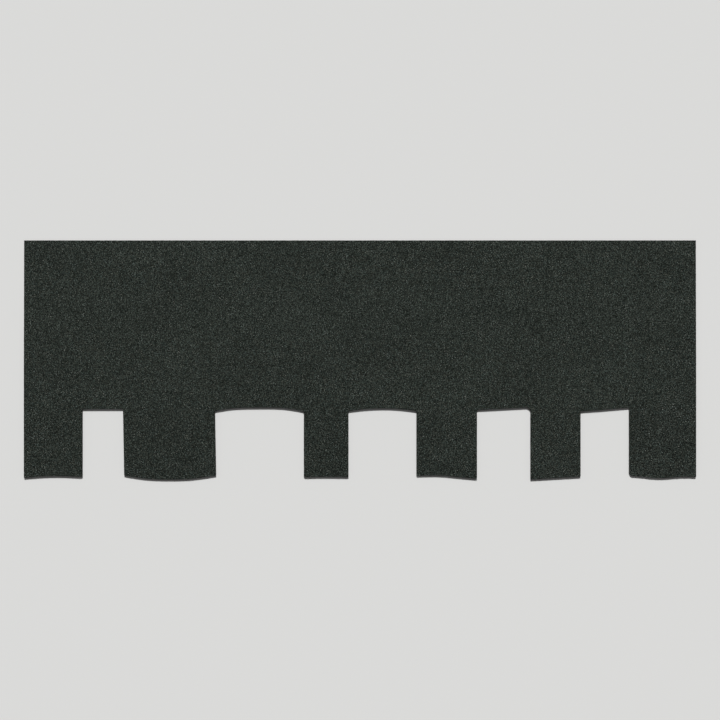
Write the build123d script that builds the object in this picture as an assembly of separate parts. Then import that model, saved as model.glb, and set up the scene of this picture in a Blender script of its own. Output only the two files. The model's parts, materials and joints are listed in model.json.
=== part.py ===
"""Laminated asphalt shingle of the heavy shake-style kind, one piece, lying with its granules up.

A full-size face ply with tabs and notches along its lower edge lies on a narrower backing ply.
Both are die-cut together, so every tab and notch goes through the two plies on one line.
X runs along the shingle, +Y up the roof to its straight top edge and +Z out of the granules.
The origin is under the middle of the shingle. Heights are measured up the roof from the lowest
point of the tabs. All sizes are in millimetres.
"""

import os
from math import acos, atan2, degrees, hypot, radians, tan
from typing import NamedTuple

from build123d import *

# Corners of the die-cut edge
crisp_corner = 1.5
eased_corner = 2.4
round_corner = 6.5


class Cut(NamedTuple):
    """One stretch of the lower edge, from side cut to side cut: a tab's end or a notch's top.

    Its rises are spread evenly over its width, above the butt line for a tab and above the notch
    line for a notch. Lean moves a tab's end to the right of its root.
    """

    kind: str
    width: float
    rises: tuple
    left_radius: float = crisp_corner
    right_radius: float = crisp_corner
    lean: float = 0.0


# The lower edge from left to right
cuts = [
    Cut("tab", 88.8, (0.0, 1.8, 2.8, 2.4, 1.1), right_radius=eased_corner),
    Cut("notch", 61.0, (2.2, 2.4)),
    Cut("tab", 139.2, (3.7, 0.3, -1.9, -2.6, -2.6, -1.9, 0.6, 3.7), lean=1.7),
    Cut("notch", 134.0, (-0.8, 2.3, 4.1, 4.5, 4.6, 4.6, 4.3, 2.1, -1.2), right_radius=eased_corner),
    Cut("tab", 67.7, (1.0, 1.5, 1.4, 1.1), left_radius=eased_corner),
    Cut("notch", 102.4, (-0.7, 1.9, 3.2, 3.4, 2.0, -0.7)),
    Cut("tab", 91.8, (3.2, 3.6, 3.9, 2.9, 1.3, -0.2, -1.5)),
    Cut("notch", 80.5, (0.7, 5.0), right_radius=round_corner),
    Cut("tab", 76.0, (-2.5, 1.9)),
    Cut("notch", 73.0, (-1.3, 0.3, 2.3, 4.6)),
    Cut("tab", 101.6, (3.2, 2.2, 0.0, -0.7, 0.9, 1.9, 1.1), left_radius=round_corner),
]

# Overall size
shingle_length = sum(cut.width for cut in cuts)
shingle_height = 362.0
exposure = 101.6  # height of one course, and of the notches

# Plies
face_ply_thickness = 2.8
backing_ply_thickness = 2.5
bond_strip = 50.8  # both plies run this far above the notch line

# Behind the backing ply the face ply comes down, so that its top edge rests on the deck
bend_clearance = 2.0  # level run past the backing ply before the bend
bend_radius = 1500.0  # the sheet is stiff and bends gently

# Sealant dabs, in one row under the tab ends
dab_length = 50.0
dab_width = 11.0
dab_thickness = 0.8
dab_gap = 12.0
dab_setback = 16.5  # centre of the row above the butt line
dab_side_margin = 8.0  # kept clear at each side of a tab that has more than one

# Points inside a cut are rounded over this share of the shorter run beside them
soft_share = 0.42
soft_radius_limit = 900.0
straight_turn = 0.2  # degrees; a smaller turn needs no rounding

# Levels above the deck
backing_underside = dab_thickness
face_underside = backing_underside + backing_ply_thickness
face_top = face_underside + face_ply_thickness

# Heights up the roof
butt_line = -min(min(cut.rises) for cut in cuts if cut.kind == "tab")
notch_line = butt_line + exposure
backing_top_edge = notch_line + bond_strip
bend_start = backing_top_edge + bend_clearance

past = 1.0  # how far blanks and cutters run past the shingle


def soft_radius(before, at, after):
    """Radius that rounds the corner at a point over soft_share of its shorter run."""
    run_in = at - before
    run_out = after - at
    turn = run_in.get_angle(run_out)
    if turn < straight_turn:
        return 0.0
    tangent = soft_share * min(run_in.length, run_out.length)
    return min(tangent / tan(radians(turn / 2)), soft_radius_limit)


def points_of(cut, left):
    """Points of one cut whose left side is at this place along the shingle."""
    line = butt_line if cut.kind == "tab" else notch_line
    step = cut.width / (len(cut.rises) - 1)
    return [Vector(left + cut.lean + i * step, line + rise) for i, rise in enumerate(cut.rises)]


def outline():
    """Plan of the die-cut shingle, with y as the height up the roof."""
    left = -shingle_length / 2
    points = [Vector(left, shingle_height)]
    radii = [0.0]
    for cut in cuts:
        run = points_of(cut, left)
        inner = [soft_radius(*run[i : i + 3]) for i in range(len(run) - 2)]
        points += run
        radii += [cut.left_radius, *inner, cut.right_radius]
        left += cut.width
    points.append(Vector(left, shingle_height))
    radii.append(0.0)
    return make_face(FilletPolyline(*points, radius=radii, close=True))


def sheet_line(depth):
    """Side view of the face ply at this depth above its underside.

    It is level over the backing ply, then an arc, then straight down the tangent from that arc
    to the foot of the top edge, where the underside meets the deck.
    """
    run = shingle_height - bend_start
    below_centre = bend_radius - face_underside
    slope = atan2(run, below_centre) - acos(bend_radius / hypot(run, below_centre))
    level = Line((-past, face_underside + depth), (bend_start, face_underside + depth))
    crest = JernArc(level @ 1, level % 1, bend_radius + depth, -degrees(slope))
    descent = Line(crest @ 1, crest @ 1 + crest % 1 * run)
    return [level, crest, descent]


def bent_blank():
    """Face ply before it is cut: the sheet between its two side-view lines."""
    under = sheet_line(0)
    over = sheet_line(face_ply_thickness)
    ends = [Line(under[0] @ 0, over[0] @ 0), Line(under[-1] @ 1, over[-1] @ 1)]
    side_view = make_face([*under, *over, *ends])
    return extrude(Plane.YZ * side_view, shingle_length / 2 + past, both=True)


def flat_blank():
    """Backing ply before it is cut."""
    size = (shingle_length + 2 * past, backing_top_edge + past, backing_ply_thickness)
    corner = Pos(0, backing_top_edge, backing_underside)
    return corner * Box(*size, align=(Align.CENTER, Align.MAX, Align.MIN))


def dab_places(cut, left):
    """Places of the sealant dabs side by side under one tab: one, or more where there is room."""
    pitch = dab_length + dab_gap
    room = cut.width - 2 * dab_side_margin + dab_gap
    count = max(1, int(room // pitch))
    row = Pos(left + cut.width / 2 + cut.lean, butt_line + dab_setback)
    return [row * spot for spot in GridLocations(pitch, dab_width, count, 1)]


def all_dabs():
    """Sealant dabs under every tab, as strips with round ends."""
    plan = Sketch()
    left = -shingle_length / 2
    for cut in cuts:
        if cut.kind == "tab":
            plan += [place * SlotOverall(dab_length, dab_width) for place in dab_places(cut, left)]
        left += cut.width
    return extrude(plan, dab_thickness)


die = Pos(0, 0, -past) * extrude(outline(), face_top + 2 * past)
pieces = {
    "face_ply": bent_blank() & die,
    "backing_ply": flat_blank() & die,
    "sealant_dabs": all_dabs(),
}

os.makedirs("parts", exist_ok=True)
for name, piece in pieces.items():
    export_step(Pos(0, -shingle_height / 2) * piece, f"parts/{name}.step")
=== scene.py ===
"""Looks of a laminated asphalt shingle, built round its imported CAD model.

The two plies are closed sheets with ragged die-cut edges. The face ply carries its larger
granules as real stone chips, each a small closed solid, pressed into black asphalt. The smaller
granules between them are part of its finish. The sealant dabs are low glossy beads. Everything
is in metres, in the CAD model's frame: X along the shingle, +Y up the roof and +Z out of the
granules.
"""

import json
from math import pi, radians, sin

import bmesh
import bpy
import numpy as np
from bpy.props import FloatProperty, FloatVectorProperty, IntProperty, PointerProperty
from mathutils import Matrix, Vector
from mathutils.geometry import delaunay_2d_cdt


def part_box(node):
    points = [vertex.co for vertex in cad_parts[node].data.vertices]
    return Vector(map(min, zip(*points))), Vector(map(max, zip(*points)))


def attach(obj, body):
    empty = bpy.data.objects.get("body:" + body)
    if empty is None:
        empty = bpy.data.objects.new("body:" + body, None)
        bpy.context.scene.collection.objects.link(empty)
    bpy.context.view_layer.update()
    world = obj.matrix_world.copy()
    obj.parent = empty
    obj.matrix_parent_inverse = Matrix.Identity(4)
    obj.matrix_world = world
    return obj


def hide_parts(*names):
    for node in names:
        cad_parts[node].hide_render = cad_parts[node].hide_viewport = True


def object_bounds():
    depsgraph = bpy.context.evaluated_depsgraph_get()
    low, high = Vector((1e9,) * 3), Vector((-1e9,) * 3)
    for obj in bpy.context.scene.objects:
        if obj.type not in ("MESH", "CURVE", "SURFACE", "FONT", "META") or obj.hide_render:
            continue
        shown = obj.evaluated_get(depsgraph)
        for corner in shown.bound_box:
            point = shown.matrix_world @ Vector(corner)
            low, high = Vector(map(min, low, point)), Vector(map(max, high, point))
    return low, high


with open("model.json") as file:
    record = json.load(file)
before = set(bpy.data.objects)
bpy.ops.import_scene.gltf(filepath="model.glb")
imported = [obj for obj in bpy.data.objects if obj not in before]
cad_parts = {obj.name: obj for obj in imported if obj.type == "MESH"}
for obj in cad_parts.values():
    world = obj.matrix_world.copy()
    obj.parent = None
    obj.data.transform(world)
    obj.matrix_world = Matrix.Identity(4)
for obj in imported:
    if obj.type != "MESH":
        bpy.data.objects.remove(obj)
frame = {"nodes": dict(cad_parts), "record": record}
cad_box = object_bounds()

bl_info = {
    "name": "Laminated shingle",
    "version": (1, 0, 0),
    "blender": (4, 5, 0),
    "location": "3D View > Sidebar > Shingle",
    "description": "Dresses the CAD model of a laminated asphalt shingle in granules and asphalt",
    "category": "Object",
}

MM = 0.001
COLOURS = {m["slot"]: m["base_color"] for m in frame["record"]["materials"]}

# Where the notches end up the roof, on average
OPENINGS = frame["record"]["physics"]["openings"]
NOTCH_LINE = sum(o["box_m"][1][1] for o in OPENINGS) / len(OPENINGS)

# Levels half way down each ply's cut, where its glass mat lies
FACE_MIDDLE = (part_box("backing_ply")[1].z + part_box("face_ply")[1].z) / 2
BACKING_MIDDLE = (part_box("backing_ply")[0].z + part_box("backing_ply")[1].z) / 2


def length(name, description, default):
    """A property that holds a length in metres."""
    return FloatProperty(
        name=name, description=description, default=default, unit="LENGTH", precision=5
    )


def number(name, description, default):
    """A property that holds a plain number."""
    return FloatProperty(name=name, description=description, default=default, precision=3)


def whole(name, description, default):
    """A property that holds a whole number."""
    return IntProperty(name=name, description=description, default=default)


def colour(name, description, default):
    """A property that holds a linear colour."""
    return FloatVectorProperty(
        name=name, description=description, default=default, subtype="COLOR", min=0, max=1
    )


class SheetSettings(bpy.types.PropertyGroup):
    """Sizes of the sheets' die-cut edges."""

    edge_step: length("Edge step", "Longest run between two points of the cut edge", 1.3 * MM)
    edge_inset: length("Edge inset", "How far the cut face stands back from the outline", 0.3 * MM)
    raggedness: length("Raggedness", "How far the cut face wanders in and out", 0.16 * MM)
    rim_width: length("Rim width", "Width of the strip between the cut and the flat", 1.0 * MM)
    fill_pitch: length("Fill pitch", "Distance between the points inside the rim", 9 * MM)
    coat_depth: length("Coat depth", "Depth of the asphalt under the granules' tops", 0.62 * MM)
    seed: whole("Seed", "Start of the edges' random numbers", 11)


class GranuleSettings(bpy.types.PropertyGroup):
    """Size, spread and colours of the stone chips."""

    pitch: length("Pitch", "Mean distance between neighbouring chips", 1.88 * MM)
    smallest: length("Smallest", "Size of the smallest chips", 0.88 * MM)
    largest: length("Largest", "Size of the largest chips", 1.75 * MM)
    evenness: number("Evenness", "How many chips apart light ones keep from each other", 0.7)
    flatness: number("Flatness", "Height of a chip beside its width", 0.62)
    sunk: length("Sunk", "How far below the surface the deepest chips have their tops", 0.42 * MM)
    edge_gap: length("Edge gap", "Least distance of a chip's middle from the cut", 0.72 * MM)
    most_faces: whole("Most faces", "Most triangles in one piece of chips", 190_000)
    stone: colour("Stone", "Mean colour of the granules", COLOURS["granules"])
    gain: number("Gain", "Mean brightness of the chips beside the whole surface", 1.6)
    bed: number("Bed", "Mean brightness of the small granules between the chips", 1.2)
    seed: whole("Seed", "Start of the chips' random numbers", 5)


class AsphaltSettings(bpy.types.PropertyGroup):
    """Colours of the asphalt, its dusting and the sealant, and the shape of the beads."""

    asphalt: colour("Asphalt", "Filled asphalt", COLOURS["asphalt"])
    sand: colour("Sand", "Sand dusted on the undersides", (0.075, 0.071, 0.065))
    mat: colour("Glass mat", "Ends of the glass fibres in the cut", (0.1, 0.1, 0.092))
    sealant: colour("Sealant", "Self-seal asphalt", COLOURS["sealant"])
    bead_edge: length("Bead edge", "Width of a sealant bead's rounded edge", 1.7 * MM)
    bead_waver: length("Bead waver", "How far a bead's outline wavers", 0.5 * MM)
    bead_swell: number("Bead swell", "How much a bead's thickness swells", 0.22)
    seed: whole("Seed", "Start of the beads' random numbers", 3)


class StageSettings(bpy.types.PropertyGroup):
    """Floor, sky, lamp and camera."""

    floor: colour("Floor", "Plain pale floor", (0.7, 0.7, 0.69))
    floor_size: length("Floor size", "Side of the floor", 14.0)
    sky: number("Sky", "Light from all round, as a share of the whole", 0.14)
    lamp_height: FloatProperty(
        name="Lamp height",
        description="Lamp above the horizon",
        default=radians(57),
        subtype="ANGLE",
    )
    lamp_spread: FloatProperty(
        name="Lamp spread",
        description="Apparent width of the lamp",
        default=radians(9),
        subtype="ANGLE",
    )
    lens: number("Lens", "Focal length in millimetres", 110.0)
    margin: number("Margin", "Frame's width as a multiple of the shingle's", 1.07)
    sight: length("Sight", "How far the camera sees", 50.0)


class ShingleSettings(bpy.types.PropertyGroup):
    """All of the shingle's settings."""

    sheets: PointerProperty(type=SheetSettings)
    granules: PointerProperty(type=GranuleSettings)
    asphalt: PointerProperty(type=AsphaltSettings)
    stage: PointerProperty(type=StageSettings)


# Shapes

# Points of a CAD node that agree to this many decimals of a metre are one point
MERGED_DECIMALS = 7

# A triangle is part of a top or an underside where its normal is steeper than this
STEEP = 0.5

# Distance between the rows of a lattice of equal triangles, in pitches
ROW_RISE = sin(pi / 3)


def triangles_of(node):
    """A CAD node's points with doubles merged, and its triangles as indices into them."""
    mesh = node.data
    mesh.calc_loop_triangles()
    corners = np.empty(len(mesh.loop_triangles) * 3, np.int32)
    mesh.loop_triangles.foreach_get("vertices", corners)
    points = np.empty(len(mesh.vertices) * 3, np.float32)
    mesh.vertices.foreach_get("co", points)
    rounded = points.reshape(-1, 3).round(MERGED_DECIMALS)
    unique, index = np.unique(rounded, axis=0, return_inverse=True)
    return unique.astype(float), index.ravel()[corners].reshape(-1, 3)


def facing(points, triangles):
    """Height of each triangle's unit normal, from -1 for down to 1 for up, 0 if it has no area."""
    a, b, c = points[triangles].transpose(1, 0, 2)
    normal = np.cross(b - a, c - a)
    return normal[:, 2] / np.maximum(np.linalg.norm(normal, axis=1), 1e-12)


def plan_outline(node):
    """Plan of a sheet node, anticlockwise.

    The upward triangles' directed edges whose reverse isn't among them, put end to end.
    """
    points, triangles = triangles_of(node)
    up = triangles[facing(points, triangles) > STEEP]
    edges = np.concatenate([up[:, [0, 1]], up[:, [1, 2]], up[:, [2, 0]]])
    there, back = edges @ [len(points), 1], edges @ [1, len(points)]
    rim = edges[~np.isin(there, back)]
    after = dict(zip(rim[:, 0].tolist(), rim[:, 1].tolist()))
    order = [int(rim[0, 0])]
    while len(order) < len(rim):
        order.append(after[order[-1]])
    return points[order, :2]


def level_line(node, upward):
    """Side view of a sheet node's top or underside: its points' y and z, in order of y."""
    points, triangles = triangles_of(node)
    side = 1 if upward else -1
    line = points[np.unique(triangles[facing(points, triangles) * side > STEEP]), 1:]
    return line[np.argsort(line[:, 0])].T


def stepped(outline, step):
    """A closed outline with no two points more than a step apart: each side is split evenly."""
    along = np.roll(outline, -1, 0) - outline
    parts = np.ceil(np.linalg.norm(along, axis=1) / step).astype(int)
    first = np.repeat(np.cumsum(parts) - parts, parts)
    part = (np.arange(parts.sum()) - first) / np.repeat(parts, parts)
    return np.repeat(outline, parts, 0) + part[:, None] * np.repeat(along, parts, 0)


def inward(outline):
    """Unit normals into an anticlockwise outline, square to the chord between neighbours."""
    chord = np.roll(outline, -1, 0) - np.roll(outline, 1, 0)
    normal = np.stack([-chord[:, 1], chord[:, 0]], 1)
    return normal / np.linalg.norm(normal, axis=1)[:, None]


def depth_inside(places, outline, chunk=20_000):
    """Distance of each place inside an outline, negative outside.

    The least distance to any of its sides, with its sign from how many sides a ray along +X
    crosses. The places are taken a chunk at a time, to save memory.
    """
    a, b = outline, np.roll(outline, -1, 0)
    along = b - a
    squared = (along**2).sum(1)
    found = []
    for start in range(0, len(places), chunk):
        p = places[start : start + chunk, None]
        t = np.clip(((p - a) * along).sum(2) / squared, 0, 1)
        away = np.sqrt((((p - a) - t[..., None] * along) ** 2).sum(2).min(1))
        above = (a[:, 1] > p[..., 1]) != (b[:, 1] > p[..., 1])
        with np.errstate(divide="ignore", invalid="ignore"):
            cross = a[:, 0] + (p[..., 1] - a[:, 1]) * along[:, 0] / along[:, 1]
        inside = (above & (p[..., 0] < cross)).sum(1) % 2 == 1
        found.append(np.where(inside, away, -away))
    return np.concatenate(found)


def lattice(low, high, pitch, jitter, rng):
    """Places on a lattice of equal triangles over a box, each moved by up to jitter pitches.

    They come as rows by columns by two.
    """
    rows = int((high[1] - low[1]) / (pitch * ROW_RISE)) + 2
    columns = int((high[0] - low[0]) / pitch) + 2
    row, column = np.mgrid[0:rows, 0:columns]
    places = np.stack([column + 0.5 * (row % 2), row * ROW_RISE], 2) * pitch + low
    return places + rng.uniform(-jitter, jitter, places.shape) * pitch


def in_order(values):
    """Each value's place in their order of size, from 0 to 1."""
    rank = np.empty(values.size)
    rank[np.argsort(values.ravel(), kind="stable")] = np.arange(values.size)
    return (rank.reshape(values.shape) + 0.5) / values.size


# How many times the tones are evened out, and the share of the light round it that a stone loses
MIXING_ROUNDS = 5
MIXING_PULL = 0.1


def well_mixed(sizes, reach, rng):
    """Tones from 0 to 1, all as common, for stones of these sizes on a lattice's rows and columns.

    No patch is lighter than another: random numbers lose a share of the brightness round them,
    blurred over reach stones as a bell curve, a few times over, and are then put in order.
    """
    area = sizes**2 / np.mean(sizes**2)
    down = np.fft.fftfreq(sizes.shape[0])[:, None] / ROW_RISE
    across = np.fft.rfftfreq(sizes.shape[1])
    bell = np.exp(-2 * (pi * reach) ** 2 * (across**2 + down**2))
    raw = rng.uniform(0, 1, sizes.shape)
    for _ in range(MIXING_ROUNDS):
        light = stone_gain(in_order(raw)) * area
        blurred = np.fft.irfft2(np.fft.rfft2(light - light.mean()) * bell, sizes.shape)
        raw = raw - MIXING_PULL * blurred
    return in_order(raw)


# How far the points inside a rim stray from their lattice and keep from the rim, in pitches
FILL_JITTER = 0.12
FILL_MARGIN = 0.4


def filled(rim, pitch, rng):
    """Triangles that fill a closed rim, and the places inside it that they use as well.

    The Delaunay triangulation of the rim and of a jittered lattice of places inside it.
    """
    places = lattice(rim.min(0), rim.max(0), pitch, FILL_JITTER, rng).reshape(-1, 2)
    places = places[depth_inside(places, rim) > FILL_MARGIN * pitch]
    points = [Vector(p) for p in np.concatenate([rim, places]).tolist()]
    sides = [(i, (i + 1) % len(rim)) for i in range(len(rim))]
    triangles_inside = 1
    made, _, faces, *_ = delaunay_2d_cdt(points, sides, [], triangles_inside, 1e-9)
    if len(made) != len(points):
        raise RuntimeError("the rim of a sheet crosses itself")
    return places, np.array(faces)


def new_mesh(name, points, faces, slots=None):
    """A mesh with these points and faces, all with as many corners, shaded flat."""
    mesh = bpy.data.meshes.new(name)
    sides = faces.shape[1]
    mesh.vertices.add(len(points))
    mesh.vertices.foreach_set("co", points.astype(np.float32).ravel())
    mesh.loops.add(faces.size)
    mesh.loops.foreach_set("vertex_index", faces.astype(np.int32).ravel())
    mesh.polygons.add(len(faces))
    mesh.polygons.foreach_set("loop_start", np.arange(0, faces.size, sides, dtype=np.int32))
    if slots is not None:
        mesh.polygons.foreach_set("material_index", slots.astype(np.int32))
    mesh.update(calc_edges=True)
    mesh.shade_flat()
    return mesh


def new_piece(name, mesh, materials):
    """A piece of the shingle, riding on its body, with these materials."""
    piece = bpy.data.objects.new(name, mesh)
    bpy.context.scene.collection.objects.link(piece)
    for material in materials:
        mesh.materials.append(material)
    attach(piece, "root")
    return piece


# Material slots of a sheet
TOP, CUT, UNDERSIDE = 0, 1, 2

# Section of a die-cut edge from the top down: how far each ring stands in from the cut face,
# its share of the way down and its share of the raggedness
CUT_RINGS = (
    (0.25 * MM, 0.0, 0.6),
    (0.0, 0.12, 1.0),
    (-0.1 * MM, 0.36, 1.0),
    (-0.16 * MM, 0.5, 1.0),
    (-0.1 * MM, 0.64, 1.0),
    (0.0, 0.86, 1.0),
    (0.25 * MM, 1.0, 0.6),
)

# Part of the wander that runs straight down the cut, and the part that each ring has for itself
SHARED_WANDER, OWN_WANDER = 0.6, 0.4


def die_cut_sheet(node, settings, coat_depth, rng):
    """Points, triangles and material slots of a closed sheet in a CAD sheet's place.

    Rings follow the node's outline, each at its own inset and at its own share of the way from
    the top down to the underside: a level rim, the rings of the cut, which wander in and out,
    and a level rim again. The two rims are filled with triangles.
    """
    top_y, top_z = level_line(node, True)
    foot_y, foot_z = level_line(node, False)
    outline = stepped(plan_outline(node), settings.edge_step)
    into = inward(outline)
    count = len(outline)
    wander = rng.uniform(-1, 1, count)
    rings = [(settings.rim_width, 0.0, 0.0)]
    rings += [(settings.edge_inset + inset, down, part) for inset, down, part in CUT_RINGS]
    rings += [(settings.rim_width, 1.0, 0.0)]

    def at(plan, down):
        top = np.interp(plan[:, 1], top_y, top_z) - coat_depth
        foot = np.interp(plan[:, 1], foot_y, foot_z)
        return np.column_stack([plan, top + (foot - top) * down])

    layers = []
    for inset, down, part in rings:
        own = SHARED_WANDER * wander + OWN_WANDER * rng.uniform(-1, 1, count)
        depth = inset + settings.raggedness * part * own
        layers.append(at(outline + into * depth[:, None], down))
    inner, fill = filled(layers[0][:, :2], settings.fill_pitch, rng)
    points = np.concatenate([*layers, at(inner, 0.0), at(inner, 1.0)])

    here = np.arange(count)
    nxt = np.roll(here, -1)
    starts = [k * count for k in range(len(rings) - 1)]
    quads = [np.stack([here, here + count, nxt + count, nxt], 1) + start for start in starts]
    walls = np.concatenate([quad[:, half] for quad in quads for half in ([0, 1, 2], [0, 2, 3])])

    # The fill numbers the rim's points first, and its own points come after the last ring's
    last = starts[-1] + count
    above = np.where(fill < count, fill, fill + last)
    below = above + np.where(fill < count, last, len(inner))
    a, b, c = points[above[0]]
    if np.cross(b - a, c - a)[2] < 0:
        above, below = above[:, ::-1], below[:, ::-1]
    triangles = np.concatenate([walls, above, below[:, ::-1]])

    strips = [TOP] + [CUT] * (len(rings) - 3) + [UNDERSIDE]
    sizes = [2 * count] * len(strips) + [len(above), len(below)]
    return points, triangles, np.repeat(strips + [TOP, UNDERSIDE], sizes)


# A chip's corners are numbered round its top, then round its foot, which is turned by 60 degrees
CHIP_FACES = np.array(
    [[0, 1, 2], [5, 4, 3], [0, 3, 1], [1, 3, 4], [1, 4, 2], [2, 4, 5], [2, 5, 0], [0, 5, 3]]
)
CHIP_CORNERS = 6

# How far a chip's top and its foot reach from its middle, in halves of its size
TOP_REACH, FOOT_REACH = 0.8, 1.04

# Factors between which each corner's reach and each chip's width vary
REACH_RANGE = (0.8, 1.15)
WIDTH_RANGE = (0.66, 1.05)

# How far a corner moves up or down, as a share of half the chip's height
HEIGHT_STRAY = 0.35

# Standard deviations of a corner's place round the chip and of the chip's tilt, in radians
CORNER_STRAY = 0.2
CHIP_TILT = 0.32

# How far chips stray from their lattice, in pitches
CHIP_JITTER = 0.34

# Beta distributions of the chips' sizes between smallest and largest, and of how deep they sink
SIZE_SPREAD = (2, 2.6)
DEPTH_SPREAD = (1.6, 2.4)


def chips(places, tops, sizes, settings, rng):
    """Points of crushed stone chips of these sizes, six for each place.

    Each is a block between a triangle and a wider one that is turned by 60 degrees, so that it
    has six sides in plan. Its corners are moved and its width is changed at random. It is tilted
    and turned at random, with its highest corner at its place's level.
    """
    n = len(places)
    corners = (n, CHIP_CORNERS)
    around = np.arange(CHIP_CORNERS) * 2 * pi / 3 + np.repeat([0, pi / 3], 3)
    around = around + rng.normal(0, CORNER_STRAY, corners)
    reach = np.repeat([TOP_REACH, FOOT_REACH], 3) * rng.uniform(*REACH_RANGE, corners)
    x, y = reach * np.cos(around), reach * np.sin(around) * rng.uniform(*WIDTH_RANGE, (n, 1))
    rise = np.repeat([1.0, -1.0], 3) + rng.uniform(-HEIGHT_STRAY, HEIGHT_STRAY, corners)
    z = settings.flatness * rise
    tilt, turn = rng.normal(0, CHIP_TILT, (n, 1)), rng.uniform(0, 2 * pi, (n, 1))
    y, z = y * np.cos(tilt) - z * np.sin(tilt), y * np.sin(tilt) + z * np.cos(tilt)
    x, y = x * np.cos(turn) - y * np.sin(turn), x * np.sin(turn) + y * np.cos(turn)
    body = np.stack([x, y, z], 2) * (sizes / 2)[:, None, None]
    body[:, :, 2] += (tops - body[:, :, 2].max(1))[:, None]
    body[:, :, :2] += places[:, None]
    return body


def chip_map(count):
    """Map of this many chips, which gives each face of each chip its own spot.

    Each chip has a square cell, cut into four squares, and its eight faces are their halves.
    """
    side = int(np.ceil(np.sqrt(count)))
    cell = np.stack(np.divmod(np.arange(count), side), 1)[:, ::-1]
    half = np.arange(len(CHIP_FACES))
    square = np.stack([half // 2 % 2, half // 4], 1) * 0.5
    near, far = 0.04, 0.4
    low = np.array([[near, near], [far, near], [near, far]])
    corner = np.where((half % 2 == 0)[:, None, None], low, 0.5 - low)
    return ((cell[:, None, None] + square[None, :, None] + corner[None]) / side).reshape(-1, 2)


# Points of a bead's outline, round each end and along each side
END_POINTS, SIDE_POINTS = 13, 14

# Rings of a bead, as shares of the way from its outline in to its middle line
BEAD_RINGS = np.array([0, 0.05, 0.14, 0.28, 0.45, 0.7, 1])

# Lengths of the swell's waves along and across a bead, divided by 2 pi
WAVE_ALONG, WAVE_ACROSS = 7 * MM, 3 * MM

# Points of a bead within this distance are one point
BEAD_MERGE = 0.01 * MM


def ends_along(points, triangles):
    """Left and right end of each dab: its triangles' spans along X, joined where they overlap."""
    spans = points[triangles, 0]
    spans = np.stack([spans.min(1), spans.max(1)], 1)
    spans = spans[np.argsort(spans[:, 0])]
    reached = np.maximum.accumulate(spans[:, 1])
    new = np.flatnonzero(spans[1:, 0] > reached[:-1]) + 1
    return spans[np.r_[0, new], 0], reached[np.r_[new - 1, len(spans) - 1]]


def sealant_beads(node, settings, rng):
    """Points and faces of the sealant beads in a CAD node's place.

    Each is a strip with round ends: a middle line, and a reach from it that goes round the ends.
    Rings run from the outline in to the middle line. The upper ones are flat, where the bead is
    stuck to the ply. The lower ones drop as a quarter ellipse, then stay level but for a low
    swell. The outline wavers inwards. The points on the middle line are doubles.
    """
    points, triangles = triangles_of(node)
    low, high = points.min(0), points.max(0)
    left, right = ends_along(points, triangles)
    radius = (high[1] - low[1]) / 2
    half = ((right - left) / 2 - radius)[:, None]
    run = np.linspace(1, -1, SIDE_POINTS + 2)[1:-1]
    core = np.concatenate([np.ones(END_POINTS), run, -np.ones(END_POINTS), -run])
    bow = np.linspace(-pi / 2, pi / 2, END_POINTS)
    up, down = np.full(SIDE_POINTS, pi / 2), np.full(SIDE_POINTS, -pi / 2)
    heading = np.concatenate([bow, up, bow + pi, down])
    waver = settings.bead_waver * rng.uniform(0, 1, (len(left), len(heading)))
    reach = (radius - waver)[..., None] * (1 - BEAD_RINGS)
    middle = (left + right)[:, None, None] / 2 + (half * core)[..., None]
    px = middle + reach * np.cos(heading)[:, None]
    py = (low[1] + high[1]) / 2 + reach * np.sin(heading)[:, None]
    drop = np.sqrt(1 - (1 - np.minimum(BEAD_RINGS * radius / settings.bead_edge, 1)) ** 2)
    phase = rng.uniform(0, 2 * pi, (2, len(left), 1, 1))
    wave = np.sin(px / WAVE_ALONG + phase[0]) * np.cos(py / WAVE_ACROSS + phase[1])
    swell = 1 + 0.5 * settings.bead_swell * (wave - 1)
    under = high[2] - (high[2] - low[2]) * drop * swell
    lower = np.stack([px, py, under], 3)[:, :, 1:]
    upper = np.stack([px, py, np.full_like(px, high[2])], 3)
    grid = np.concatenate([upper[:, :, ::-1], lower], 2)
    index = np.arange(grid[..., 0].size).reshape(grid.shape[:3])
    nxt = np.roll(index, -1, 1)
    quads = np.stack([index[..., :-1], index[..., 1:], nxt[..., 1:], nxt[..., :-1]], 3)
    return grid.reshape(-1, 3), quads.reshape(-1, 4)


# Finishes


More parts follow.
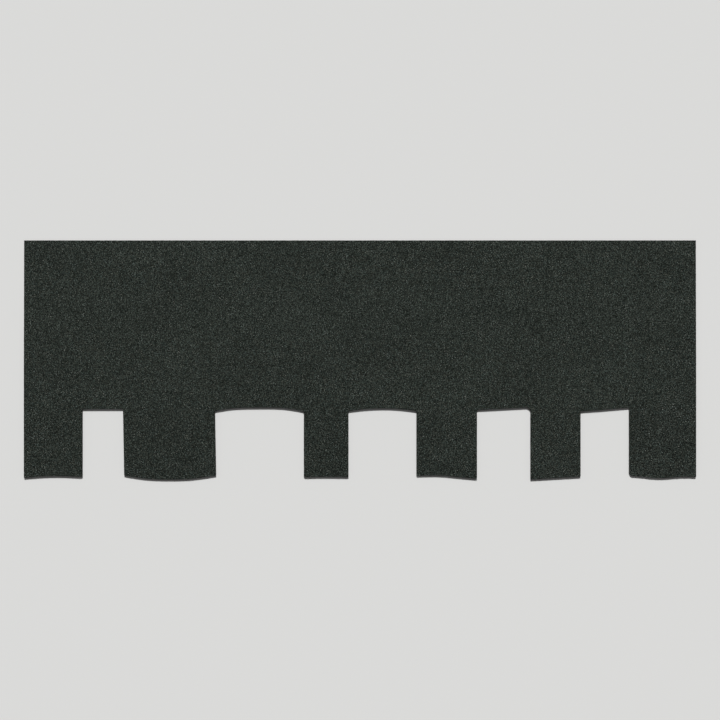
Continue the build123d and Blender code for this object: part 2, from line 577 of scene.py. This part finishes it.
class Wire:
    """A socket of a node tree. Arithmetic on wires adds Math nodes."""

    # A colour Mix node's sockets by number, because its other kinds have the same names
    FACTOR, FIRST, SECOND, RESULT = 0, 6, 7, 2

    def __init__(self, tree, socket=None):
        self.tree, self.socket = tree, socket

    def node(self, kind, settings=None, values=None, output=0):
        """Adds a node of this type and returns its output.

        Its settings are set first, then each of its sockets gets a value or is wired up.
        """
        made = self.tree.nodes.new(kind)
        for name, value in (settings or {}).items():
            if name == "stops":
                elements = made.color_ramp.elements
                while len(elements) < len(value):
                    elements.new(1.0)
                for element, (place, rgb) in zip(elements, value):
                    element.position, element.color = place, (*rgb, 1)
            else:
                setattr(made, name, value)
        for name, value in (values or {}).items():
            if isinstance(value, Wire):
                self.tree.links.new(value.socket, made.inputs[name])
            else:
                made.inputs[name].default_value = value
        return Wire(self.tree, made.outputs[output])

    def maths(self, operation, *values):
        """A Math node of this operation on this wire and these values."""
        values = dict(enumerate([self, *values]))
        return self.node("ShaderNodeMath", {"operation": operation}, values)

    def __add__(self, other):
        return self.maths("ADD", other)

    def __sub__(self, other):
        return self.maths("SUBTRACT", other)

    def __rsub__(self, other):
        return self.node("ShaderNodeMath", {"operation": "SUBTRACT"}, {0: other, 1: self})

    def __mul__(self, other):
        return self.maths("MULTIPLY", other)

    __radd__, __rmul__ = __add__, __mul__

    def most(self, other):
        """The greater of this wire and another."""
        return self.maths("MAXIMUM", other)

    def magnitude(self):
        """This wire without its sign."""
        return self.maths("ABSOLUTE")

    def vector(self, operation, *values, output=0):
        """A Vector Math node of this operation on this wire and these values."""
        values = dict(enumerate([self, *values]))
        return self.node("ShaderNodeVectorMath", {"operation": operation}, values, output)

    def axis(self, name):
        """One coordinate of this place."""
        return self.node("ShaderNodeSeparateXYZ", None, {"Vector": self}, name)

    def channel(self, name):
        """One channel of this colour."""
        return self.node("ShaderNodeSeparateColor", None, {"Color": self}, name)

    def span(self, low, high, bottom=0.0, top=1.0):
        """This wire's range from low to high mapped smoothly to bottom to top."""
        return self.node(
            "ShaderNodeMapRange",
            {"interpolation_type": "SMOOTHSTEP"},
            {"Value": self, "From Min": low, "From Max": high, "To Min": bottom, "To Max": top},
        )

    def noise(self, scale, detail=2.0, roughness=0.5):
        """Noise at this place, with this many cells a metre."""
        values = {"Vector": self, "Scale": scale, "Detail": detail, "Roughness": roughness}
        return self.node("ShaderNodeTexNoise", None, values)

    def cells(self, scale, output, dimensions="3D", feature="F1"):
        """Crushed stone at this place, with this many cells a metre.

        The output is the cell's own random colour, its middle's place, or a distance: from that
        middle, or from the cell's edge if the feature says so.
        """
        settings = {"voronoi_dimensions": dimensions, "feature": feature}
        values = {"Vector": self, "Scale": scale}
        return self.node("ShaderNodeTexVoronoi", settings, values, output)

    def mixed(self, first, second):
        """The first colour where this wire is 0 and the second where it is 1."""
        values = {self.FACTOR: self, self.FIRST: first, self.SECOND: second}
        return self.node("ShaderNodeMix", {"data_type": "RGBA"}, values, self.RESULT)

    def tinted(self, amount):
        """This colour times an amount or another colour."""
        settings = {"data_type": "RGBA", "blend_type": "MULTIPLY"}
        values = {self.FACTOR: 1.0, self.FIRST: self, self.SECOND: amount}
        return self.node("ShaderNodeMix", settings, values, self.RESULT)

    def bump(self, distance, strength=1.0):
        """Normal of a surface that this wire raises by up to a distance."""
        values = {"Height": self, "Distance": distance, "Strength": strength}
        return self.node("ShaderNodeBump", None, values)


def shade(rgb, factor=1.0):
    """A colour with its alpha, made lighter or darker."""
    return (*(min(1.0, c * factor) for c in rgb), 1.0)


def new_material(name, **constants):
    """A material with constant shader values, its Object coordinates and its shader."""
    material = bpy.data.materials.new(name)
    material.use_nodes = True
    tree = material.node_tree
    shader = tree.nodes["Principled BSDF"]
    for socket, value in constants.items():
        shader.inputs[socket.replace("_", " ")].default_value = value
    place = Wire(tree).node("ShaderNodeTexCoord", output="Object")
    return material, place, shader


def wire_up(shader, **wires):
    """Links wires to the shader's inputs of those names."""
    for socket, wire in wires.items():
        wire.tree.links.new(wire.socket, shader.inputs[socket.replace("_", " ")])


# Specular levels: the stones and the asphalt are dull, and the sealant shines a little
STONE_SHINE = 0.08
ASPHALT_SHINE = 0.15
SEALANT_SHINE = 0.25

# Share of the stones up to each brightness, as a multiple of the mean, and how grey they are
STONE_STOPS = (
    (0.0, 0.05, 0.0),
    (0.3, 0.24, 0.0),
    (0.6, 0.66, 0.0),
    (0.8, 1.4, 0.1),
    (0.92, 2.8, 0.3),
    (0.98, 5.0, 0.5),
    (1.0, 7.5, 0.6),
)

# The lightest stones are greyed, so the mean colour is made this much greener first
GREENER = (0.975, 1.03, 0.975)

# Tints between which the stones' hue wanders
WARM_TINT = (1.05, 1.0, 0.96, 1)
COOL_TINT = (0.94, 1.015, 1.03, 1)

# How the brightness drifts over the sheet, and how it changes from the tabs to the headlap
DRIFT = (0.93, 1.07)
TABS_TO_HEADLAP = (0.98, 1.03)
BLEND_WIDTH = 20 * MM  # of the change, to each side of the notch line


def stone_gain(tone):
    """Brightness of stones of these tones, as a multiple of the mean."""
    places, gains, _ = zip(*STONE_STOPS)
    return np.interp(tone, places, gains)


def stone_colour(tone, place, settings, gain):
    """Colour of crushed stone from a random tone, made lighter by a gain.

    Most stones are dark, few are light. The blend drifts by a few percent over the sheet, and
    the sheet above the notches is a little lighter than the tabs.
    """
    tint = np.array(settings.stone) * GREENER * gain
    stops = [(t, (tint + (tint.mean() - tint) * grey) * light) for t, light, grey in STONE_STOPS]
    stone = tone.node("ShaderNodeValToRGB", {"stops": stops}, {"Fac": tone})
    hue = place.noise(480.0, 1.0).span(0.4, 0.6).mixed(WARM_TINT, COOL_TINT)
    drift = place.noise(9.0, 3.0).span(0.3, 0.7, *DRIFT)
    blend = (NOTCH_LINE - BLEND_WIDTH, NOTCH_LINE + BLEND_WIDTH)
    lift = place.axis("Y").span(*blend, *TABS_TO_HEADLAP)
    return stone.tinted(hue).tinted(drift * lift)


def granule_field(settings):
    """Small granules and asphalt between the chips: one Voronoi cell to a granule.

    Each cell is a flat facet that leans its own way, at a level of its own, above a dark gap: the
    asphalt between the granules, with painted shade that makes it darker than the asphalt's own
    colour.
    A noise moves each place by a fraction of a millimetre, which bends the cells' edges.
    """
    material, place, shader = new_material("granule_field", Specular_IOR_Level=STONE_SHINE)
    per_metre = 1250.0
    bend = place.noise(1100.0, 1.0)
    flat = bend.vector("MULTIPLY_ADD", (0.3 * MM, 0.3 * MM, 0.0), place)
    edge = flat.cells(per_metre, "Distance", "2D", "DISTANCE_TO_EDGE")
    own = flat.cells(per_metre, "Color", "2D")
    middle = flat.cells(per_metre, "Position", "2D")
    lean = own.vector("SUBTRACT", (0.5, 0.5, 0.5))
    slope = flat.vector("SUBTRACT", middle).vector("DOT_PRODUCT", lean, output="Value")
    level = own.channel("Blue")
    # The small granules' tones lie closer together than the chips', with the same mean
    low, high = 0.08, 0.93
    tones, narrowed = np.linspace(0, 1, 999), np.linspace(low, high, 999)
    even = stone_gain(tones).mean() / stone_gain(narrowed).mean()
    stone = stone_colour(level * (high - low) + low, place, settings, settings.bed * even)
    # Gaps between the cells: asphalt, with painted shade that darkens them to near black below the
    # asphalt's own colour
    gap_and_painted_shade = edge.span(0.0, 0.09, 1, 0)
    height = slope * per_metre * 1.5 + level * 0.3 - edge.span(0.0, 0.3, 0.5, 0)
    wire_up(
        shader,
        Base_Color=(gap_and_painted_shade * 0.85).mixed(stone, shade(settings.stone, 0.16)),
        Roughness=gap_and_painted_shade.span(0, 1, 0.9, 0.7),
        Normal=height.bump(0.38 * MM),
    )
    return material


def granule_chips(settings):
    """Ceramic-coated stone: its tone comes with each chip, as the attribute tone."""
    material, place, shader = new_material(
        "granule_chips", Roughness=0.9, Specular_IOR_Level=STONE_SHINE
    )
    tone = place.node("ShaderNodeAttribute", {"attribute_name": "tone"}, None, "Fac")
    wire_up(shader, Base_Color=stone_colour(tone, place, settings, settings.gain))
    return material


def cut_asphalt(name, settings, middle):
    """Filled asphalt as the die leaves it, with the glass mat's fibre ends half way down."""
    material, place, shader = new_material(name, Specular_IOR_Level=ASPHALT_SHINE)
    dark, light = shade(settings.asphalt, 0.55), shade(settings.asphalt, 1.8)
    fibre = place.noise(2600.0, 2.0).span(0.5, 0.62)
    mat = 1 - (place.axis("Z") - middle).magnitude().span(0.08 * MM, 0.26 * MM)
    crumb = place.noise(1700.0, 6.0, 0.7)
    tear = place.noise(420.0, 3.0)
    speck = place.cells(2300.0, "Color").channel("Red").span(0.88, 0.9)
    base = crumb.span(0.35, 0.7).mixed(dark, light)
    wire_up(
        shader,
        Base_Color=(fibre * mat + speck * 0.5).mixed(base, shade(settings.mat)),
        Roughness=crumb.span(0.3, 0.7, 0.66, 0.92),
        Normal=(crumb + tear * 0.8).bump(0.5 * MM),
    )
    return material


# Share of each surface that its grains of sand cover
FACE_SAND = 0.6
BACKING_SAND = 0.64
LAMINATED_SAND = 0.05


def dusted_asphalt(name, settings, cover):
    """Black asphalt with sand dusted on it: some of its cells are grains, no two alike.

    The sand lies thicker in some places than in others, and fine dust lies between its grains.
    """
    material, place, shader = new_material(name, Specular_IOR_Level=ASPHALT_SHINE)
    per_metre = 1900.0
    flow = place.noise(45.0, 4.0).span(0.35, 0.65, -0.14, 0.14)
    own = place.cells(per_metre, "Color")
    bright = own.channel("Green").span(0, 1, 0.3, 1.0)
    edge = place.cells(per_metre, "Distance", feature="DISTANCE_TO_EDGE").span(0.02, 0.16)
    dust = place.noise(3800.0, 3.0).span(0.4, 0.7) * (flow + 0.2)
    grain = (own.channel("Red") + flow).span(1 - cover, 1.08 - cover) * edge
    sandy = (grain * bright).most(dust)
    wire_up(
        shader,
        Base_Color=sandy.mixed(shade(settings.asphalt, 0.8), shade(settings.sand)),
        Roughness=grain.span(0, 1, 0.72, 0.94),
        Normal=(grain * (bright + 0.3) + dust).bump(0.16 * MM),
    )
    return material


def glossy_sealant(settings):
    """Soft self-seal asphalt: black, glossy, a little wrinkled and dulled in patches."""
    material, place, shader = new_material("glossy_sealant", Specular_IOR_Level=SEALANT_SHINE)
    dark, light = shade(settings.sealant, 0.8), shade(settings.sealant, 1.5)
    wrinkle = place.noise(260.0, 3.0)
    patch = place.noise(90.0, 2.0)
    wire_up(
        shader,
        Base_Color=patch.span(0.35, 0.7).mixed(dark, light),
        Roughness=patch.span(0.35, 0.7, 0.3, 0.5),
        Normal=wrinkle.bump(0.3 * MM, 0.7),
    )
    return material


# Operators


class SHINGLE_OT_face_ply(bpy.types.Operator):
    """Lay the face ply's coated sheet, ready for its granules"""

    bl_idname = "shingle.face_ply"
    bl_label = "Face ply"

    def execute(self, context):
        settings = context.scene.shingle
        sheets = settings.sheets
        rng = np.random.default_rng(sheets.seed)
        node = frame["nodes"]["face_ply"]
        points, faces, slots = die_cut_sheet(node, sheets, sheets.coat_depth, rng)
        mesh = new_mesh("face_sheet", points, faces, slots)
        materials = [
            granule_field(settings.granules),
            cut_asphalt("face_cut", settings.asphalt, FACE_MIDDLE),
            dusted_asphalt("face_underside", settings.asphalt, FACE_SAND),
        ]
        piece = new_piece("face_sheet", mesh, materials)
        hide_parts("face_ply")
        return {"FINISHED"}


class SHINGLE_OT_granules(bpy.types.Operator):
    """Press the stone chips into the face ply"""

    bl_idname = "shingle.granules"
    bl_label = "Granules"

    def execute(self, context):
        settings = context.scene.shingle.granules
        rng = np.random.default_rng(settings.seed)
        node = frame["nodes"]["face_ply"]
        outline = plan_outline(node)
        low, high = (np.array(corner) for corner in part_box("face_ply"))
        places = lattice(low[:2], high[:2], settings.pitch, CHIP_JITTER, rng)
        spread = settings.largest - settings.smallest
        sizes = settings.smallest + spread * rng.beta(*SIZE_SPREAD, places.shape[:2])
        tones = well_mixed(sizes, settings.evenness, rng)
        places = places.reshape(-1, 2)
        kept = depth_inside(places, outline) > settings.edge_gap
        places, sizes, tones = places[kept], sizes.ravel()[kept], tones.ravel()[kept]
        sunk = settings.sunk * rng.beta(*DEPTH_SPREAD, len(places))
        tops = np.interp(places[:, 1], *level_line(node, True)) - sunk
        bodies = np.clip(chips(places, tops, sizes, settings, rng), low, high)
        material = granule_chips(settings)
        bands = int(np.ceil(len(places) * len(CHIP_FACES) / settings.most_faces))
        order = np.argsort(places[:, 1], kind="stable")
        for k, band in enumerate(np.array_split(order, bands)):
            count = len(band)
            first = CHIP_CORNERS * np.arange(count)[:, None, None]
            faces = (CHIP_FACES + first).reshape(-1, 3)
            mesh = new_mesh(f"granules_{k + 1}", bodies[band].reshape(-1, 3), faces)
            tone = mesh.attributes.new("tone", "FLOAT", "POINT")
            values = np.repeat(tones[band], CHIP_CORNERS)
            tone.data.foreach_set("value", values.astype(np.float32))
            uv = mesh.uv_layers.new(name="OFBake")
            uv.uv.foreach_set("vector", chip_map(count).astype(np.float32).ravel())
            new_piece(f"granules_{k + 1}", mesh, [material])
        return {"FINISHED"}


class SHINGLE_OT_backing_ply(bpy.types.Operator):
    """Lay the narrower backing ply under the tabs"""

    bl_idname = "shingle.backing_ply"
    bl_label = "Backing ply"

    def execute(self, context):
        settings = context.scene.shingle
        rng = np.random.default_rng(settings.sheets.seed + 1)
        node = frame["nodes"]["backing_ply"]
        points, faces, slots = die_cut_sheet(node, settings.sheets, 0.0, rng)
        mesh = new_mesh("backing_sheet", points, faces, slots)
        materials = [
            dusted_asphalt("laminating_asphalt", settings.asphalt, LAMINATED_SAND),
            cut_asphalt("backing_cut", settings.asphalt, BACKING_MIDDLE),
            dusted_asphalt("backing_underside", settings.asphalt, BACKING_SAND),
        ]
        piece = new_piece("backing_sheet", mesh, materials)
        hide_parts("backing_ply")
        return {"FINISHED"}


class SHINGLE_OT_sealant_dabs(bpy.types.Operator):
    """Lay the sealant beads under the tab ends"""

    bl_idname = "shingle.sealant_dabs"
    bl_label = "Sealant dabs"

    def execute(self, context):
        settings = context.scene.shingle.asphalt
        rng = np.random.default_rng(settings.seed)
        points, faces = sealant_beads(frame["nodes"]["sealant_dabs"], settings, rng)
        mesh = new_mesh("sealant_beads", points, faces)
        merged = bmesh.new()
        merged.from_mesh(mesh)
        bmesh.ops.remove_doubles(merged, verts=merged.verts, dist=BEAD_MERGE)
        bmesh.ops.recalc_face_normals(merged, faces=merged.faces)
        merged.to_mesh(mesh)
        merged.free()
        mesh.shade_smooth()
        piece = new_piece("sealant_beads", mesh, [glossy_sealant(settings)])
        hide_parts("sealant_dabs")
        return {"FINISHED"}


class SHINGLE_OT_stage(bpy.types.Operator):
    """Set the floor, the sky, the lamp and the camera"""

    bl_idname = "shingle.stage"
    bl_label = "Stage"

    def execute(self, context):
        settings = context.scene.shingle.stage
        scene = context.scene
        half = settings.floor_size / 2
        corners = np.array([[-half, -half, 0], [half, -half, 0], [half, half, 0], [-half, half, 0]])
        mesh = new_mesh("floor", corners, np.array([[0, 1, 2, 3]]))
        floor = bpy.data.objects.new("floor", mesh)
        scene.collection.objects.link(floor)
        paint = {"Base_Color": shade(settings.floor), "Roughness": 0.9, "Specular_IOR_Level": 0.1}
        mesh.materials.append(new_material("pale_floor", **paint)[0])

        # The sky looks as pale as the floor, to the camera and in reflections
        world = bpy.data.worlds.new("sky")
        world.use_nodes = True
        wire = Wire(world.node_tree)
        rays = ("Is Camera Ray", "Is Glossy Ray", "Is Transmission Ray")
        direct, mirrored, through = (wire.node("ShaderNodeLightPath", output=ray) for ray in rays)
        seen = direct.most(mirrored).most(through)
        light = seen.mixed(shade((1, 1, 1), settings.sky), shade(settings.floor))
        wire_up(world.node_tree.nodes["Background"], Color=light)
        scene.world = world

        # Sky and lamp together show a level surface in its own colour
        lamp = bpy.data.objects.new("lamp", bpy.data.lights.new("lamp", "SUN"))
        lamp.data.angle = settings.lamp_spread
        lamp.data.energy = pi * (1 - settings.sky) / sin(settings.lamp_height)
        lamp.rotation_euler = (-(pi / 2 - settings.lamp_height), 0, 0)
        scene.collection.objects.link(lamp)

        # The camera looks straight down on the middle of the shingle
        low, high = cad_box
        camera = bpy.data.objects.new("camera", bpy.data.cameras.new("camera"))
        camera.data.lens = settings.lens
        width = (high.x - low.x) * settings.margin
        distance = width / camera.data.sensor_width * settings.lens
        camera.location = ((low.x + high.x) / 2, (low.y + high.y) / 2, high.z + distance)
        camera.data.clip_end = settings.sight
        scene.collection.objects.link(camera)
        scene.camera = camera
        scene.view_settings.view_transform = "Standard"
        return {"FINISHED"}


class SHINGLE_PT_panel(bpy.types.Panel):
    """Lists the shingle's steps in the order they are made"""

    bl_idname = "SHINGLE_PT_panel"
    bl_label = "Shingle"
    bl_space_type = "VIEW_3D"
    bl_region_type = "UI"
    bl_category = "Shingle"

    def draw(self, context):
        for step in STEPS:
            self.layout.operator(step.bl_idname)


STEPS = (
    SHINGLE_OT_stage,
    SHINGLE_OT_backing_ply,
    SHINGLE_OT_face_ply,
    SHINGLE_OT_granules,
    SHINGLE_OT_sealant_dabs,
)
CLASSES = (
    SheetSettings,
    GranuleSettings,
    AsphaltSettings,
    StageSettings,
    ShingleSettings,
    *STEPS,
    SHINGLE_PT_panel,
)


def register():
    """Adds the classes and the scene's settings."""
    for cls in CLASSES:
        bpy.utils.register_class(cls)
    bpy.types.Scene.shingle = PointerProperty(type=ShingleSettings)


def unregister():
    """Takes them away again."""
    del bpy.types.Scene.shingle
    for cls in reversed(CLASSES):
        bpy.utils.unregister_class(cls)


def main():
    """Makes each piece in order."""
    register()
    bpy.ops.shingle.stage()
    bpy.ops.shingle.backing_ply()
    bpy.ops.shingle.face_ply()
    bpy.ops.shingle.granules()
    bpy.ops.shingle.sealant_dabs()


if __name__ == "__main__":
    main()
